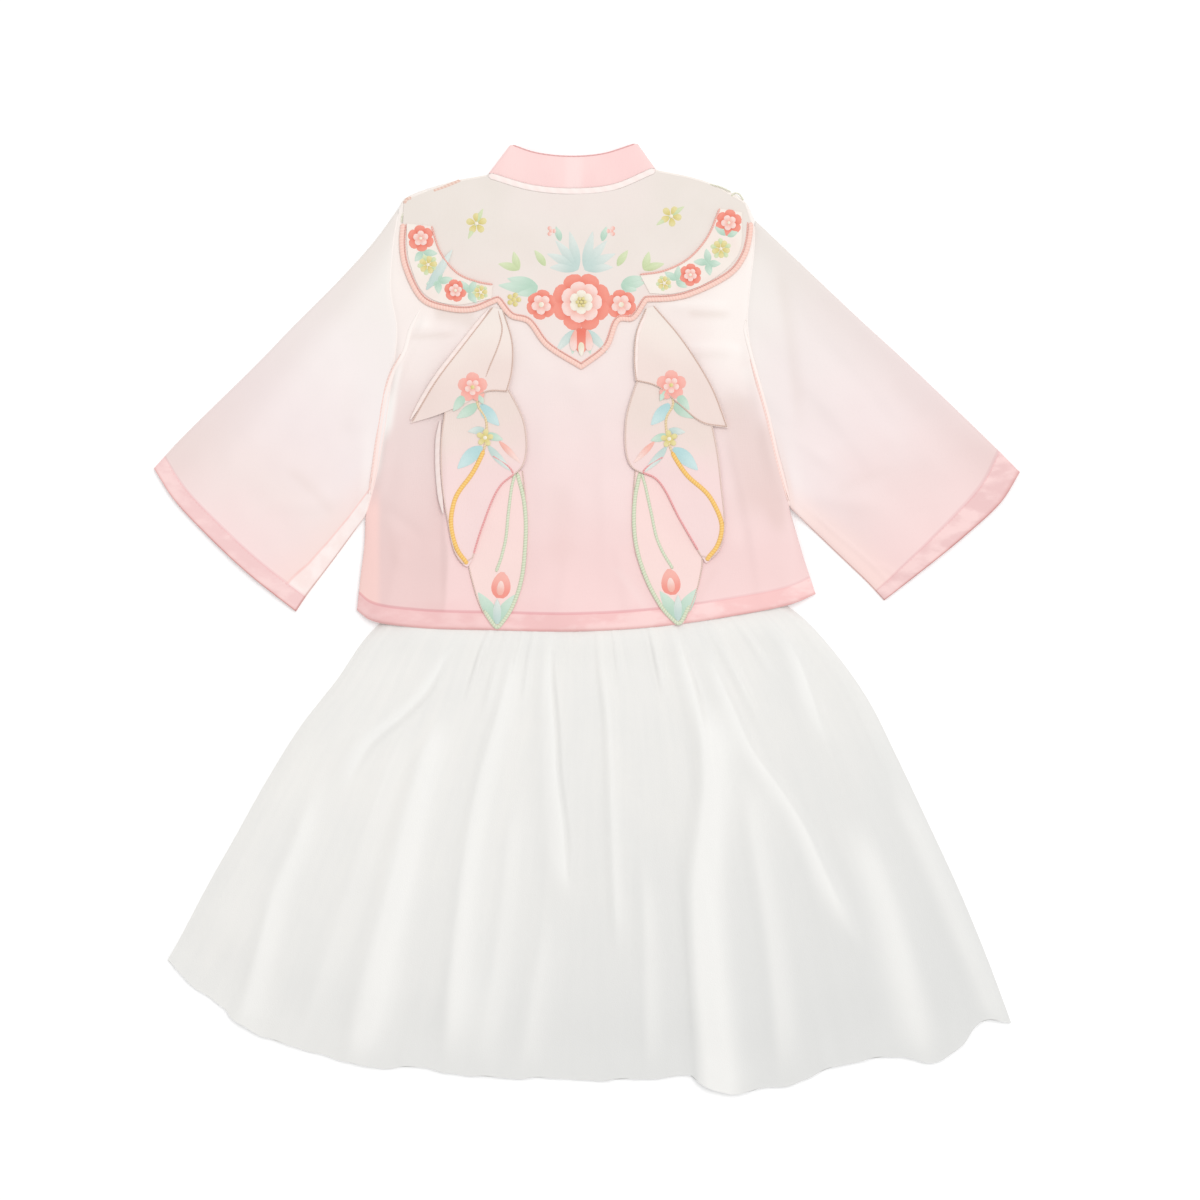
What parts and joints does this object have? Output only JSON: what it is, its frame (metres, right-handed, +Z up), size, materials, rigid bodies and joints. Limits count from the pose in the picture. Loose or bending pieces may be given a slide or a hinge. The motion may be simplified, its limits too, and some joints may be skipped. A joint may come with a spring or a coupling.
{
  "type": "child's hanfu set",
  "caption": "Child's hanfu set laid flat, back up: satin jacket with stand collar, cloud collar and wing streamers, over a gathered tulle skirt.",
  "frame": {"origin": "centre of the laid-out set's box, on the surface it lies on", "axes": "+Z up out of the back, +Y from the skirt's hem to the collar, +X towards the wearer's right"},
  "size_m": [0.695, 0.7623, 0.0118],
  "materials": {
    "satin": "semi-sheer pale pink ombre satin",
    "collar_satin": "pink interfaced satin",
    "cloud_cloth": "off-white satin with embroidery",
    "binding": "coral corded binding",
    "petal_gauze": "ivory gauze with corded edges",
    "petal_satin": "pink gauze with corded lines",
    "lining": "plain white satin",
    "tulle": "soft white tulle"
  },
  "bodies": {
    "root": {"jacket_back": "satin", "jacket_front_left": "satin", "jacket_front_right": "satin", "sleeve_left": "satin", "sleeve_right": "satin", "collar": "collar_satin", "cloud_collar_back": "cloud_cloth", "cloud_collar_front_left": "cloud_cloth", "cloud_collar_front_right": "cloud_cloth", "cloud_collar_binding": "binding", "crescent_left": "cloud_cloth", "crescent_right": "cloud_cloth", "wing_left_tail": "petal_gauze", "wing_left_middle": "petal_satin", "wing_left_upper": "petal_gauze", "wing_right_tail": "petal_gauze", "wing_right_middle": "petal_satin", "wing_right_upper": "petal_gauze", "skirt_waistband_front": "lining", "skirt_waistband_back": "lining", "skirt_lining_front": "lining", "skirt_lining_back": "lining", "skirt_tulle_front": "tulle", "skirt_tulle_back": "tulle"}
  },
  "joints": []
}
